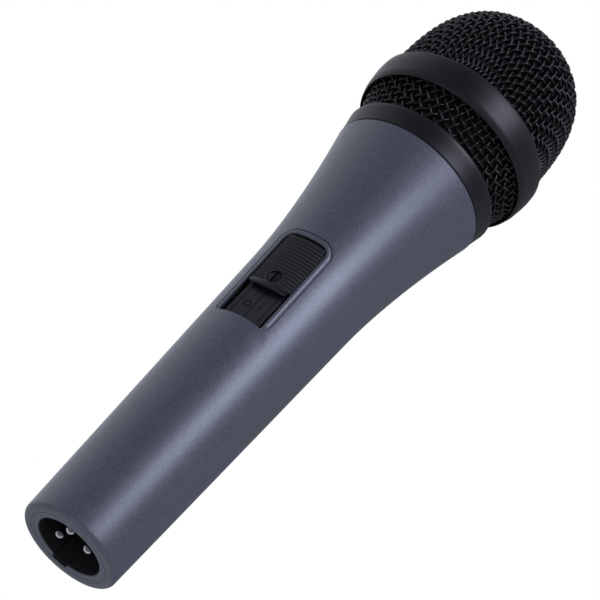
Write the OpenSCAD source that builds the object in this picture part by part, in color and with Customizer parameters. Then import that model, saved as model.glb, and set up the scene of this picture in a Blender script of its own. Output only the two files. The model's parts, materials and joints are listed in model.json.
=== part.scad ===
// Hand-held dynamic microphone with a slide switch and a male 3-pin XLR socket.
// The axis is +Z, from the tail face (z = 0) to the top of the dome.
// The slide switch faces -Y.

/* [Handle] */
// Length of the handle from the tail face to its shoulder
handle_l = 125.65; // [125:0.05:126]
// Radius of the handle at the tail, before the rim is rounded
tail_r = 12.52; // [12.3:0.02:12.8]
// Growth of the radius for each millimetre of length
taper = 0.025; // [0.023:0.001:0.027]
// Height at which the flare begins
flare_z = 84; // [82:0.5:86]
// Strength of the flare
flare_gain = 0.0083; // [0.0081:0.0001:0.0085]
// Power of the flare
flare_power = 1.7; // [1.69:0.01:1.71]
// Wall thickness of the casting
wall = 2.1; // [1.9:0.1:2.2]
// Radius of the rounded tail rim
rim_r = 1.6; // [1.4:0.1:1.9]
// Outer radius of the threaded neck
neck_r = 17.5; // [17.45:0.01:17.52]
// Height of the top of the neck
neck_top = 131.3; // [131:0.1:131.4]
// Radius of the bore inside the neck
neck_bore_r = 15.6; // [15.56:0.01:15.65]

/* [XLR socket] */
// Radius of the socket bore
bore_r = 8.3; // [8.2:0.05:8.4]
// Height of the face of the insert
insert_z = 16.4; // [16:0.1:16.6]
// Radius of the circle that the contact pins stand on
pin_circle_r = 3.95; // [3.9:0.01:4]
// Radius of a contact pin
pin_r = 1.2; // [1.15:0.01:1.25]
// Height of the tips of the pins
pin_tip_z = 1.2; // [1:0.1:2]

/* [Slide switch] */
// Height of the tail end of the switch window
window_z = 63.4; // [63.2:0.1:63.6]
// Length of the switch window
window_l = 26.55; // [26.4:0.05:26.6]
// Width of the switch window
window_w = 11.8; // [11.7:0.05:12]
// Corner radius at the head end of the window
window_corner = 2.5; // [2:0.1:3]
// Width of the raised frame round the window
frame_w = 1.3; // [1:0.05:1.5]
// Rise of the frame above the handle
frame_rise = 0.3; // [0.2:0.05:0.4]
// Length of the slider
slider_l = 15.8; // [15.4:0.1:15.9]
// Travel of the slider, towards the tail
slider_travel = 9.2; // [8.8:0.1:9.2]
// Number of grip grooves on the slider
groove_count = 15; // [10:1:15]
// Radius of the lock screw's head
lock_r = 1.55; // [1.4:0.05:1.6]

/* [Head] */
// Outer radius of the dome at its foot
dome_r = 22.7; // [22.5:0.05:22.75]
// Height of the dome above the centre ring
dome_h = 34; // [33:0.5:35]
// Power that rounds the dome's side; a smaller one makes it steeper
dome_side_power = 0.8; // [0.7:0.01:0.9]
// Power that rounds the dome's top; a smaller one makes it flatter
dome_top_power = 0.6; // [0.55:0.01:0.75]
// Thickness of the woven wire, two crossed wires deep
mesh_t = 0.9; // [0.7:0.1:1]
// Largest radius of the centre ring
ring_r = 24; // [23.95:0.05:24.2]
// Thickness of the foam liner
foam_t = 3; // [2:0.5:4]

/* [Capsule] */
// Outer radius of the capsule housing
capsule_r = 12.4; // [12.3:0.05:12.5]
// Height of the front edge of the capsule housing
capsule_top = 150; // [149.9:0.1:150.2]
// Play of the voice coil in its air gap, on each side
coil_play = 0.35; // [0.3:0.01:0.4]

/* [Hidden] */
$fn = 96;

// Radius of the part of a pin that sits in the insert
pin_root_r = pin_r + 0.33;
// Height of the screw that holds the insert
screw_z = 21;
// Gap between neighbours that belong to one body
fit_gap = 0.05;
// Running clearance of a part that turns or slides
run_gap = 0.08;

// Switch levels, as distances from the axis towards -Y
floor_y = 12.3;
floor_back_y = 11.3;
slider_under_y = 12.55;
carriage_top_y = 9.6;
carriage_back_y = 8.5;
board_front_y = 7.2;
board_back_y = 6;
rail_half_w = 4.9;
leg_in = 5.05;
leg_out = 5.6;
block_half_w = 3.4;
window_top = window_z + window_l;
slider_top = window_top - 0.65;
slider_z = slider_top - slider_l;
lock_z = slider_z + 3.1;
// Distance between two grip grooves
groove_pitch = (slider_l - 1.6) / groove_count;
carriage_z = slider_z + 5.5;
carriage_l = 6;

// Head levels
collar_z = handle_l + 0.25;
collar_top = 131.3;
mesh_foot_z = 129.6;
ring_z = 140.2;
ring_web_z = 141.9;
ring_web_top = 142.9;
ring_top = ring_z + 7.3;
// Height of the lower band's curved wall
band_h = 8.8;
dome_z = 146;

// Capsule levels
carrier_z = 117.5;
carrier_r = neck_bore_r - 0.1;
carrier_bore_r = 14.35;
housing_z = 117.5;
housing_bore_r = capsule_r - 0.8;
motor_r = housing_bore_r - 0.15;
pot_z = 134.5;
pot_top = 143.5;
magnet_z = 136;
pole_z = 141.4;
pole_r = 7;
coil_r = pole_r + coil_play;
coil_out_r = coil_r + 0.4;
gap_r = coil_out_r + coil_play;
diaphragm_z = 144.6;

function handle_r(z) = tail_r + taper * z + flare_gain * pow(max(0, z - flare_z), flare_power);
function bore_wall_r(z) = min(handle_r(z) - wall, neck_bore_r);
function arc(cx, cy, r, a0, a1, n) = [
    for (i = [0 : n]) let (a = a0 + (a1 - a0) * i / n) [cx + r * cos(a), cy + r * sin(a)]
];
// A quarter of the dome's outline, from its foot to its top, in from the outside by t
function dome_arc(t) = [
    for (a = [0 : 5 : 90])
        [(dome_r - t) * pow(cos(a), dome_side_power), dome_z + (dome_h - t) * pow(sin(a), dome_top_power)]
];
// The lower mesh's outline, in from the outside by t
function band_arc(t) = [
    for (i = [0 : 8]) let (z = 131.3 + band_h * i / 8)
        [20.4 - t + 2.3 * pow((z - 131.3) / band_h, 1.9), z]
];
function pin_place(i) = pin_circle_r * [[-1, 0], [1, 0], [0, -1]][i];

module tube(r_out, r_in, z0, z1) {
    translate([0, 0, z0]) difference() {
        cylinder(r = r_out, h = z1 - z0);
        translate([0, 0, -1]) cylinder(r = r_in, h = z1 - z0 + 2);
    }
}

module disc(r, z0, z1) {
    translate([0, 0, z0]) cylinder(r = r, h = z1 - z0);
}

// A block on the switch side: half width, from one level to another, between two heights
module switch_block(half_w, y_near, y_far, z0, z1) {
    translate([-half_w, -y_far, z0]) cube([2 * half_w, y_far - y_near, z1 - z0]);
}

// A round bar from p to q, longer by more at each end
module rod(p, q, r, more) {
    v = q - p;
    l = norm(v);
    translate(p) rotate([0, acos(v[2] / l), atan2(v[1], v[0])]) translate([0, 0, -more])
        cylinder(r = r, h = l + 2 * more, $fn = 24);
}

// A wire through four points: its middle stretch, a little thinner, reaches into the two others
module lead(points, r) {
    rod(points[0], points[1], r, 0);
    rod(points[1], points[2], 0.9 * r, 0.6 * r);
    rod(points[2], points[3], r, 0);
}

// A slotted screw along +Z: the head, then the shank below it
module screw(head_r, head_h, shank_r, shank_l, slot_w) {
    difference() {
        union() {
            cylinder(r = head_r, h = head_h, $fn = 32);
            translate([0, 0, -shank_l]) cylinder(r = shank_r, h = shank_l + head_h / 2, $fn = 32);
        }
        translate([-head_r - 1, -slot_w / 2, head_h * 0.55]) cube([2 * head_r + 2, slot_w, head_h]);
    }
}

// The window's outline, grown at its sides and at its head end
module window_outline(grow) {
    w = window_w + 2 * grow;
    r = window_corner + grow;
    translate([-w / 2, 0]) square([w, window_l - window_corner]);
    translate([-w / 2 + r, 0]) square([w - 2 * r, window_l + grow]);
    for (s = [-1, 1]) translate([s * (w / 2 - r), window_l - window_corner]) circle(r = r);
}

// What lies under the window's outline, from one level outwards
module window_prism(grow, y0, y1, z0) {
    translate([0, -y0, z0]) rotate([90, 0, 0]) linear_extrude(y1 - y0) window_outline(grow);
}

module handle_body(proud, z0, z1, steps) {
    rotate_extrude() polygon(concat(
        [[0, z0]],
        [for (i = [0 : steps]) let (z = z0 + (z1 - z0) * i / steps) [handle_r(z) + proud, z]],
        [[0, z1]]
    ));
}

// --- Handle ---

module handle_outside() {
    rim_z = rim_r;
    rotate_extrude() polygon(concat(
        [[0, 0]],
        arc(handle_r(rim_z) - rim_r, rim_z, rim_r, -90, 0, 8),
        [for (z = [flare_z : 3 : handle_l - 2]) [handle_r(z), z]],
        [[handle_r(handle_l - 0.4), handle_l - 0.4], [handle_r(handle_l) - 0.35, handle_l]],
        [[neck_r, handle_l], [neck_r, neck_top - 0.3], [neck_r - 0.3, neck_top], [0, neck_top]]
    ));
}

module handle_inside() {
    rotate_extrude() polygon(concat(
        [[0, -1], [bore_r + 0.35, -1], [bore_r + 0.35, 0], [bore_r, 0.35], [bore_r, 26]],
        [[bore_wall_r(26) - 1, 26], [bore_wall_r(27), 27]],
        [for (z = [flare_z : 5 : 108]) [bore_wall_r(z), z]],
        [[neck_bore_r, 111], [neck_bore_r, neck_top + 1], [0, neck_top + 1]]
    ));
}

// Groove for the latch of the cable connector, along the socket bore
module latch_groove() {
    rotate([0, 0, 209.5 - 90]) translate([0, -1.8, -1]) cube([bore_r + 0.7, 3.6, 15]);
}

module window_frame() {
    intersection() {
        handle_body(frame_rise, window_z - 2, window_top + 3, 10);
        difference() {
            window_prism(frame_w, 10, 20, window_z);
            window_prism(0, 9, 21, window_z - 1);
        }
    }
}

module handle_shell() {
    color("slategray") difference() {
        union() {
            handle_outside();
            window_frame();
        }
        handle_inside();
        window_prism(0, 6, 20, window_z);
        latch_groove();
        translate([0, 0, screw_z]) rotate([0, -90, 0]) cylinder(r = 1.3, h = 20, $fn = 32);
        for (s = [-1, 1])
            translate([s * 16.4, 0, neck_top - 4]) cylinder(r = 0.65, h = 5, $fn = 24);
    }
}

// --- XLR socket ---

module xlr_insert() {
    color("black") difference() {
        disc(bore_r - fit_gap, insert_z, 25.5);
        for (i = [0 : 2])
            translate([pin_place(i)[0], pin_place(i)[1], insert_z - 1])
                cylinder(r = pin_root_r + 0.02, h = 12, $fn = 48);
        translate([-5.7, 0, screw_z]) rotate([0, -90, 0]) cylinder(r = 0.85, h = 20, $fn = 32);
        tube(bore_r + 1, bore_r - 0.6, 24.3, 26);
    }
}

// A contact pin: round nose, plain shaft, a thicker root in the insert, solder cup behind it
module contact_pin(i) {
    nose = 0.85;
    root_z = insert_z - 0.3;
    color("silver") translate([pin_place(i)[0], pin_place(i)[1], 0]) difference() {
        rotate_extrude($fn = 48) polygon(concat(
            [[0, pin_tip_z]],
            arc(pin_r - nose, pin_tip_z + nose, nose, -90, 0, 6),
            [[pin_r, root_z], [pin_root_r, root_z], [pin_root_r, 26], [0.95, 26], [0.95, 28], [0, 28]]
        ));
        translate([0, 0, 26.6]) cylinder(r = 0.6, h = 3, $fn = 32);
    }
}

module contact_pin_1() { contact_pin(0); }
module contact_pin_2() { contact_pin(1); }
module contact_pin_3() { contact_pin(2); }

module insert_screw() {
    color("dimgray") translate([-10.3, 0, screw_z]) rotate([0, -90, 0])
        screw(1.2, 1.2, 0.8, 4.55, 0.35);
}

// Bent leaf from pin 1 to the wall of the handle
module ground_leaf() {
    root = -pin_circle_r - pin_root_r - fit_gap;
    color("goldenrod") translate([0, 1, 0]) rotate([90, 0, 0]) linear_extrude(2) polygon([
        [root, 25.55], [-7.6, 25.55], [-11, 31.5], [-11, 33], [-10.7, 33], [-10.7, 31.6],
        [-7.4, 25.85], [root, 25.85]
    ]);
}

module tail_leads() {
    color("maroon") for (i = [0 : 2]) {
        p = pin_place(i);
        x = [-3.2, 3.2, 0][i];
        end_z = window_z - [1.7, 1.7, 3.4][i];
        lead([[p[0], p[1], 26.7], [p[0], p[1], 33], [x, -5.4, 54], [x, -5.4, end_z]], 0.5);
    }
}

// --- Slide switch ---

module switch_housing() {
    groove_y = floor_y - 0.3;
    color("darkslategray") difference() {
        union() {
            intersection() {
                switch_block(rail_half_w, floor_back_y, floor_y, window_z + 0.1, window_top);
                window_prism(-0.1, 10, 20, window_z);
            }
            switch_block(block_half_w, board_front_y + fit_gap, floor_back_y + fit_gap,
                window_z - 3.4, window_z + 0.3);
            switch_block(block_half_w, board_front_y + fit_gap, floor_back_y + fit_gap,
                window_top - 0.3, window_top + 3.4);
        }
        // engraved lines along the floor
        for (x = [-3.7, 0, 3.7])
            translate([x - 0.1, -20, window_z]) cube([0.2, 20 - groove_y, window_l]);
        // engraved ring and bar
        translate([-1.7, -groove_y, window_z + 5]) rotate([90, 0, 0]) difference() {
            cylinder(r = 0.95, h = 5, $fn = 32);
            translate([0, 0, -1]) cylinder(r = 0.7, h = 7, $fn = 32);
        }
        translate([1.6, -20, window_z + 4.1]) cube([0.26, 20 - groove_y, 1.8]);
        for (z = [window_z - 1.8, window_top + 1.9])
            translate([0, -10.5, z]) rotate([-90, 0, 0]) cylinder(r = 0.8, h = 5, $fn = 32);
    }
}

// The grip's outline turned round the axis: a smooth land at each end and grooves between
module grip_body() {
    depth = 0.28;
    first = slider_z + 1.2;
    rotate_extrude($fn = 180) polygon(concat(
        [[0, slider_z], [handle_r(slider_z) - 0.75, slider_z], [handle_r(slider_z), slider_z + 0.75]],
        [for (i = [0 : groove_count - 1], k = [0 : 3])
            let (z = first + groove_pitch * (i + [0, 0.25, 0.5, 0.75][k]))
            [handle_r(z) - ((k == 1 || k == 2) ? depth : 0), z]],
        [[handle_r(slider_top - 0.4), slider_top - 0.4]],
        [[handle_r(slider_top) - 0.3, slider_top], [0, slider_top]]
    ));
}

module switch_slider() {
    play = 0.25;
    color("dimgray") difference() {
        union() {
            intersection() {
                union() {
                    grip_body();
                    intersection() {
                        handle_body(-0.05, slider_z + 0.8, slider_z + 6, 2);
                        translate([0, 0, lock_z]) rotate([90, 0, 0]) cylinder(r = 2.25, h = 20);
                    }
                }
                window_prism(-play, slider_under_y, 20, window_z);
                translate([-10, -20, slider_z]) cube([20, 20, slider_l]);
            }
            for (s = [-1, 1]) {
                translate([s * (leg_in + leg_out) / 2 - (leg_out - leg_in) / 2, -slider_under_y - 0.2,
                    slider_z + 0.6]) cube([leg_out - leg_in, 2, slider_l - 3.6]);
                translate([s * (leg_in + leg_out) / 2 - (leg_out - leg_in) / 2, -slider_under_y,
                    carriage_z]) cube([leg_out - leg_in, slider_under_y - carriage_top_y, carriage_l]);
            }
        }
        translate([0, -20, lock_z]) rotate([-90, 0, 0]) cylinder(r = 0.98, h = 12);
        translate([0, -20, lock_z]) rotate([-90, 0, 0]) cylinder(r = lock_r + run_gap, h = 6.45);
    }
}

module slide_carriage() {
    color("white") difference() {
        switch_block(leg_out, carriage_back_y, carriage_top_y, carriage_z, carriage_z + carriage_l);
        switch_block(2.6, carriage_back_y - 1, carriage_back_y + 0.45,
            carriage_z + 1.4, carriage_z + carriage_l - 1.4);
    }
}

// Bridge that joins two fixed contacts: a plate with two rounded feet
module moving_contact() {
    mid = carriage_z + carriage_l / 2;
    color("goldenrod") {
        switch_block(2.55, carriage_back_y + 0.1, carriage_back_y + 0.4, mid - 1.5, mid + 1.5);
        for (x = [-1.7, 1.7]) translate([x, -carriage_back_y - 0.2, mid]) rotate([-90, 0, 0]) {
            cylinder(r = 0.5, h = 0.55, $fn = 32);
            translate([0, 0, 0.5]) cylinder(r1 = 0.5, r2 = 0.3, h = 0.35, $fn = 32);
        }
    }
}

module lock_screw() {
    color("dimgray") translate([0, -13.6, lock_z]) rotate([90, 0, 0])
        screw(lock_r, 0.65, 0.9, 0.6, 0.42);
}

module detent_spring() {
    z = window_z + 13.7;
    y = -floor_back_y + 0.05;
    color("goldenrod") translate([1.2, 0, 0]) rotate([0, -90, 0]) linear_extrude(2.4) polygon([
        [z - 9, y], [z - 3.5, y], [z - 0.8, y + 1], [z + 0.8, y + 1], [z + 3.5, y], [z + 9, y],
        [z + 9, y + 0.2], [z + 3.4, y + 0.2], [z + 0.9, y + 1.2], [z - 0.9, y + 1.2],
        [z - 3.4, y + 0.2], [z - 9, y + 0.2]
    ]);
}

module switch_board() {
    color("darkgreen") difference() {
        switch_block(6.5, board_back_y, board_front_y, window_z - 4, window_top + 4);
        for (z = [window_z - 1.8, window_top + 1.9])
            translate([0, -10, z]) rotate([-90, 0, 0]) cylinder(r = 0.8, h = 6, $fn = 32);
    }
}

module fixed_contacts() {
    mid = carriage_z + carriage_l / 2;
    color("gold") for (s = [-1, 1], z = [mid, mid - slider_travel])
        translate([s * 1.7 - 0.8, -board_front_y - 0.25, z - 2.2]) cube([1.6, 0.25, 4.4]);
}

module board_screws() {
    color("silver") for (z = [window_z - 1.8, window_top + 1.9])
        translate([0, -board_back_y + 0.02, z]) rotate([-90, 0, 0]) screw(1.35, 0.8, 0.75, 4, 0.3);
}

module capsule_leads() {
    color("maroon") for (s = [-1, 1]) lead([
        [s * 2.6, -5.4, 91.5], [s * 2.6, -5.4, 97], [s * 3, 0, 106], [s * 3, 0, 112.9]
    ], 0.5);
}

// --- Capsule ---

module capsule_carrier() {
    color("black") difference() {
        union() {
            tube(carrier_r, carrier_bore_r, carrier_z, 150.5);
            tube(17.3, carrier_bore_r, neck_top + 0.1, neck_top + 1.3);
            tube(carrier_bore_r + 0.5, 12.95, carrier_z, carrier_z + 0.8);
            tube(carrier_bore_r + 0.5, 12.95, 149.7, 150.5);
        }
        for (s = [-1, 1])
            translate([s * 16.4, 0, neck_top - 1]) cylinder(r = 0.65, h = 4, $fn = 24);
        for (a = [30 : 60 : 330])
            rotate([0, 0, a]) translate([10, -2.5, 135]) cube([8, 5, 9]);
    }
}

module carrier_screws() {
    color("silver") for (s = [-1, 1])
        translate([s * 16.4, 0, neck_top + 1.32]) screw(0.85, 0.6, 0.6, 4.4, 0.25);
}

// Rubber ring with a waist, between the capsule and its carrier
module shock_mount(z0, z1) {
    inner = capsule_r + 0.05;
    outer = carrier_bore_r - 0.05;
    mid = (z0 + z1) / 2;
    color("dimgray") rotate_extrude() polygon([
        [inner, z0], [inner + 0.4, z0], [(inner + outer) / 2, mid - 0.6], [outer - 0.4, z0], [outer, z0],
        [outer, z1], [outer - 0.4, z1], [(inner + outer) / 2, mid + 0.6], [inner + 0.4, z1], [inner, z1]
    ]);
}

module shock_mount_rear() { shock_mount(carrier_z + 1.2, carrier_z + 4.4); }
module shock_mount_front() { shock_mount(146.1, 149.3); }

module capsule_housing() {
    color("black") difference() {
        disc(capsule_r, housing_z, capsule_top);
        disc(housing_bore_r, housing_z - 1, capsule_top - 0.9);
        disc(9.8, housing_z, capsule_top + 1);
        for (a = [0 : 60 : 300])
            rotate([0, 0, a]) translate([10, -1, 124]) cube([4, 2, 5]);
    }
}

module rear_chamber() {
    color("ivory") difference() {
        disc(motor_r, housing_z + 0.2, 130);
        disc(motor_r - 0.8, housing_z + 1.2, 131);
    }
}

module hum_coil() {
    color("chocolate") tube(9.6, 6, 130.4, 133.6);
}

module magnet_pot() {
    color("lightgray") difference() {
        disc(motor_r, pot_z, pot_top);
        translate([0, 0, pot_z + 1.4]) cylinder(r = motor_r - 1.6, h = 5.5);
        translate([0, 0, pot_z + 1]) cylinder(r = gap_r, h = 20);
    }
}

module magnet() {
    color("gray") disc(6.6, magnet_z, pole_z);
}

module pole_plate() {
    color("lightgray") disc(pole_r, pole_z, pot_top);
}

module voice_coil() {
    color("orange") tube(coil_out_r, coil_r, 140.9, diaphragm_z);
}

// Thin dome with a flat surround
module diaphragm() {
    t = 0.2;
    big = 17;
    drop = big * cos(25.9);
    color("lightyellow") rotate_extrude() polygon(concat(
        arc(0, diaphragm_z + t - drop + 0.02, big, 90, 64.1, 8),
        [[10.7, diaphragm_z + t], [10.7, diaphragm_z]],
        arc(0, diaphragm_z - drop + 0.02, big, 64.1, 90, 8)
    ));
}

module diaphragm_ring() {
    color("goldenrod") tube(motor_r, 10.95, pot_top, 145.9);
}

module front_grille() {
    color("dimgray") difference() {
        disc(motor_r, 147.2, 148.4);
        for (k = [1 : 2], a = [0 : 60 / k : 359])
            rotate([0, 0, a]) translate([3.7 * k, 0, 147]) cylinder(r = 1.1, h = 2, $fn = 32);
        translate([0, 0, 147]) cylinder(r = 1.1, h = 2, $fn = 32);
    }
    color("dimgray") tube(motor_r, 10.95, 145.95, 147.25);
}

module front_cloth() {
    color("gray") disc(motor_r, 148.45, 149.05);
}

module capsule_terminals() {
    color("gold") for (s = [-1, 1])
        translate([s * 3 - 0.9, -0.25, 113.5]) cube([1.8, 0.5, 4.2]);
}

// --- Head ---

module collar_seal() {
    color("black") tube(20, neck_r + run_gap, handle_l + 0.01, collar_z - 0.01);
}

module collar_ring() {
    color("black") difference() {
        rotate_extrude() polygon([
            [0, collar_z], [handle_r(handle_l) - 0.2, collar_z], [20.4, collar_z + 0.25],
            [20.85, 129], [21.15, 130.8], [21.1, 131.05], [20.75, collar_top], [0, collar_top]
        ]);
        disc(neck_r + run_gap, collar_z - 1, collar_top + 1);
        tube(20.45, 19.35, mesh_foot_z - 0.1, collar_top + 1);
    }
}

module lower_mesh() {
    color("dimgray") rotate_extrude() polygon(concat(
        [[20.4, mesh_foot_z]],
        band_arc(0),
        [[22.7, ring_web_z - fit_gap], [22.7 - mesh_t, ring_web_z - fit_gap]],
        [for (i = [8 : -1 : 0]) band_arc(mesh_t)[i]],
        [[20.4 - mesh_t, mesh_foot_z]]
    ));
}

module centre_ring() {
    color("black") difference() {
        rotate_extrude() polygon(concat(
            [[0, ring_z], [23.15, ring_z], [23.45, ring_z + 0.35], [ring_r - 0.15, ring_z + 3.2]],
            [[ring_r, ring_z + 4.4], [ring_r, ring_z + 5.8], [ring_r - 0.12, ring_z + 6.7]],
            [[ring_r - 0.4, ring_z + 7.2], [ring_r - 0.55, ring_top], [0, ring_top]]
        ));
        disc(22.7 + fit_gap, ring_z - 1, ring_web_z);
        disc(21.4, ring_z, ring_top);
        disc(dome_r + fit_gap, ring_web_top, ring_top + 1);
    }
}

module dome_mesh() {
    inner = dome_arc(mesh_t);
    color("dimgray") rotate_extrude() polygon(concat(
        [[dome_r, ring_web_top + fit_gap]],
        dome_arc(0),
        [for (i = [len(inner) - 1 : -1 : 0]) inner[i]],
        [[dome_r - mesh_t, ring_web_top + fit_gap]]
    ));
}

module foam_liner() {
    gap = mesh_t + 0.15;
    inner = dome_arc(gap + foam_t);
    slim = 17.9;
    color("black") rotate_extrude() polygon(concat(
        [[slim, 133.4], [19.4, 133.4], [20, 136.4], [20.9, 138.8], [21.2, 143.2]],
        dome_arc(gap),
        [for (i = [len(inner) - 1 : -1 : 0]) inner[i]],
        [[slim, 144]]
    ));
}

handle_shell();
xlr_insert();
contact_pin_1();
contact_pin_2();
contact_pin_3();
insert_screw();
ground_leaf();
tail_leads();
switch_housing();
switch_slider();
slide_carriage();
moving_contact();
lock_screw();
detent_spring();
switch_board();
fixed_contacts();
board_screws();
capsule_leads();
capsule_carrier();
carrier_screws();
shock_mount_rear();
shock_mount_front();
capsule_housing();
rear_chamber();
hum_coil();
magnet_pot();
magnet();
pole_plate();
voice_coil();
diaphragm();
diaphragm_ring();
front_grille();
front_cloth();
capsule_terminals();
collar_seal();
collar_ring();
lower_mesh();
centre_ring();
dome_mesh();
foam_liner();
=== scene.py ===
"""Looks of a hand-held dynamic microphone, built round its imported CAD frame.

The axis is +Z from the tail face to the top of the head, and the slide switch faces -Y.
Shapes are worked out in millimetres, as in the CAD, and turned into metres as meshes are made.
"""
import json
import math

import bmesh
import bpy
import numpy as np
from mathutils import Matrix, Vector


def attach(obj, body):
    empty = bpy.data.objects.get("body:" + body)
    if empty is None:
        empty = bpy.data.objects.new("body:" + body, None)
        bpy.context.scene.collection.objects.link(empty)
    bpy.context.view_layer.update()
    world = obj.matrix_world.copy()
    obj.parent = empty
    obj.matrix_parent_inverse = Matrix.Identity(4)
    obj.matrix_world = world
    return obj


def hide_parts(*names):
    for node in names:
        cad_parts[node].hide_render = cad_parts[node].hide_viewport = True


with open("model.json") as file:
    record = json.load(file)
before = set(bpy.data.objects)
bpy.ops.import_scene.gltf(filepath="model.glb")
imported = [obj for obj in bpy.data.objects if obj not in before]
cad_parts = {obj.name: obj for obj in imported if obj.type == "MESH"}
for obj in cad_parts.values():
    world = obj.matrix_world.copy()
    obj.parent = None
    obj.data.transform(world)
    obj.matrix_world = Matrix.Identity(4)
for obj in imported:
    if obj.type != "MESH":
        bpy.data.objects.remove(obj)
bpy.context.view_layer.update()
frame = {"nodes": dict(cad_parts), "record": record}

MM = 0.001

# ---------------------------------------------------------------- sizes, in millimetres
HANDLE_L = 125.65
TAIL_R = 12.52
TAPER = 0.025
FLARE_Z = 84.0
FLARE_GAIN = 0.0083
FLARE_POWER = 1.7
WALL = 2.1
RIM_R = 1.2
FRAME_TURN = 1.6
RING_Z = 140.2
NECK_R = 17.5
NECK_TOP = 131.3
NECK_BORE_R = 15.6
THREAD_DEPTH = 0.34
BORE_R = 8.3
BORE_TOP = 26.0
BORE_MOUTH_R = 0.47
SCREW_HOLE_Z = 21.0
SCREW_HOLE_R = 1.3

INSERT_ROOT_Z = 16.1
PIN_TIP = 1.2
PIN_R = 1.2
PIN_ROOT_R = 1.55
PIN_NOSE_R = 1.15
CUP_R = 0.95
CUP_HOLE_R = 0.6
PIN_CIRCLE_R = 3.95

WINDOW_Z = 63.4
WINDOW_L = 26.55
WINDOW_W = 11.8
WINDOW_CORNER = 2.5
SLIDER_L = 15.8
SLIDER_TOP = WINDOW_Z + WINDOW_L - 0.65
SLIDER_Z = SLIDER_TOP - SLIDER_L
SLIDER_UNDER = 12.55
GROOVES = 15
GROOVE_DEPTH = 0.36
LEG_IN = 5.05
LEG_OUT = 5.6
LOCK_Z = SLIDER_Z + 3.1
LOCK_R = 1.55

DOME_R = 22.7
DOME_H = 34.0
DOME_Z = 146.0
DOME_FOOT = 142.95
DOME_SIDE_POWER = 0.8
DOME_TOP_POWER = 0.6
WIRE_R = 0.32
WEAVE_INSET = 2 * WIRE_R + 0.02
CRIMP = 0.96          # how far a wire swings each way, in wire radii
DOME_PITCH = 2.25
DOME_NET_TURN = 60.0
DOME_GIVE = 0.32
BAND_R = 20.4
BAND_LOW = 129.65
BAND_HIGH = 141.85
BAND_FLARE_Z = 131.3
BAND_FLARE_H = 8.8
BAND_FLARE = 2.1
BAND_FLARE_POWER = 1.9
BAND_FLOOR_R = 4.6
BAND_PITCH = 2.03
BAND_NET_TURN = 53.0


def handle_r(z):
    """Outer radius of the handle at a height."""
    return TAIL_R + TAPER * z + FLARE_GAIN * max(0.0, z - FLARE_Z) ** FLARE_POWER


def smoothstep(x, low, high):
    t = min(1.0, max(0.0, (x - low) / (high - low)))
    return t * t * (3 - 2 * t)


def arc(cx, cz, r, start, end, steps):
    """Points on an arc in the (radius, height) plane, angles in degrees."""
    angles = [math.radians(start + (end - start) * i / steps) for i in range(steps + 1)]
    return [(cx + r * math.cos(a), cz + r * math.sin(a)) for a in angles]


# ---------------------------------------------------------------- camera
CAMERA_TURN = (33.0, -29.89, 43.114)    # azimuth from the switch, elevation and roll, in degrees
CAMERA_AIM_Z = 83.65
CAMERA_DISTANCE = 620.3
CAMERA_LENS = 162.7
CAMERA_SENSOR = 36.0


def make_camera():
    azimuth, elevation, roll = (math.radians(v) for v in CAMERA_TURN)
    aim = Vector((0, 0, CAMERA_AIM_Z * MM))
    back = Vector((
        math.sin(azimuth) * math.cos(elevation),
        -math.cos(azimuth) * math.cos(elevation),
        math.sin(elevation),
    ))
    camera = bpy.data.objects.new("camera", bpy.data.cameras.new("camera"))
    camera.data.lens = CAMERA_LENS
    camera.data.sensor_width = CAMERA_SENSOR
    camera.data.clip_start = 0.01
    camera.data.clip_end = 20.0
    look = (-back).to_track_quat("-Z", "Y").to_matrix() @ Matrix.Rotation(roll, 3, "Z")
    camera.matrix_world = Matrix.Translation(aim + CAMERA_DISTANCE * MM * back) @ look.to_4x4()
    bpy.context.scene.collection.objects.link(camera)
    bpy.context.scene.camera = camera


make_camera()


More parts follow.
